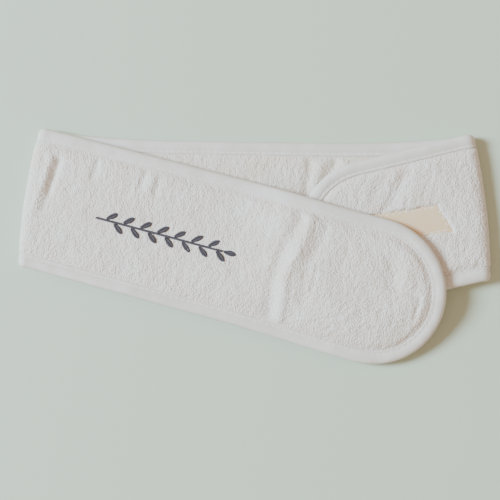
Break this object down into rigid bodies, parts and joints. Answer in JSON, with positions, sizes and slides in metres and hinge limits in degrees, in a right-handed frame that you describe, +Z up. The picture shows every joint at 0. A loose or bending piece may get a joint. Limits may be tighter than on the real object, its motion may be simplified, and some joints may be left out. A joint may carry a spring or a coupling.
{
  "type": "spa headband",
  "caption": "Wide terry headband with bound edges, folded flat; a round-ended front tab closes with hook and loop over a flap folded in from the other side.",
  "frame": {"origin": "middle of the folded headband's bounding box, on the surface it lies on", "axes": "+X along the back panel, from the left fold towards the right fold; +Y across it, towards its upper edge; +Z up, out of the surface"},
  "size_m": [0.2652, 0.1256, 0.0146],
  "materials": {
    "cotton_terry": "looped pile",
    "bias_binding": "smooth woven",
    "sewing_thread": "spun thread",
    "hook_tape": "moulded nylon hooks",
    "loop_tape": "brushed nylon loops",
    "embroidery_thread": "satin stitch"
  },
  "bodies": {
    "back_panel": {"back_binding_lower": "bias_binding", "back_binding_upper": "bias_binding", "back_lining_terry": "cotton_terry", "back_outer_terry": "cotton_terry", "back_stitching_lower": "sewing_thread", "back_stitching_upper": "sewing_thread", "left_fold_binding_lower": "bias_binding", "left_fold_binding_upper": "bias_binding", "left_fold_lining_terry": "cotton_terry", "left_fold_outer_terry": "cotton_terry", "right_fold_binding_lower": "bias_binding", "right_fold_binding_upper": "bias_binding", "right_fold_lining_terry": "cotton_terry", "right_fold_outer_terry": "cotton_terry"},
    "front_panel": {"embroidered_sprig": "embroidery_thread", "front_binding_lower": "bias_binding", "front_binding_upper": "bias_binding", "front_lining_terry": "cotton_terry", "front_outer_terry": "cotton_terry", "front_stitching_lower": "sewing_thread", "front_stitching_upper": "sewing_thread"},
    "closure_tab": {"tab_binding": "bias_binding", "tab_lining_terry": "cotton_terry", "tab_loop_patch": "loop_tape", "tab_outer_terry": "cotton_terry", "tab_patch_stitching": "sewing_thread", "tab_stitching": "sewing_thread"},
    "hook_flap": {"flap_binding": "bias_binding", "flap_hook_patch": "hook_tape", "flap_lining_terry": "cotton_terry", "flap_outer_terry": "cotton_terry", "flap_patch_stitching": "sewing_thread", "flap_stitching": "sewing_thread"}
  },
  "joints": [
    {"name": "left_fold", "type": "hinge", "parent": "back_panel", "child": "front_panel", "pos_m": [-0.1253, 0.02242, 0.0047], "axis": [-0.1149, -0.9934, 0], "range_deg": [0, 178], "deforming": ["left_fold_binding_lower", "left_fold_binding_upper", "left_fold_lining_terry", "left_fold_outer_terry"]},
    {"name": "tab_crease", "type": "hinge", "parent": "front_panel", "child": "closure_tab", "pos_m": [0.01789, -0.01093, 0.0144], "axis": [-0.1149, -0.9934, 0], "range_deg": [0, 75]},
    {"name": "right_fold", "type": "hinge", "parent": "back_panel", "child": "hook_flap", "pos_m": [0.12467, 0.02245, 0.0047], "axis": [-0.1305, 0.9914, 0], "range_deg": [0, 178], "deforming": ["right_fold_binding_lower", "right_fold_binding_upper", "right_fold_lining_terry", "right_fold_outer_terry"]}
  ],
  "couplings": [
    {"joint": "right_fold", "follows": "left_fold", "ratio": 1}
  ]
}
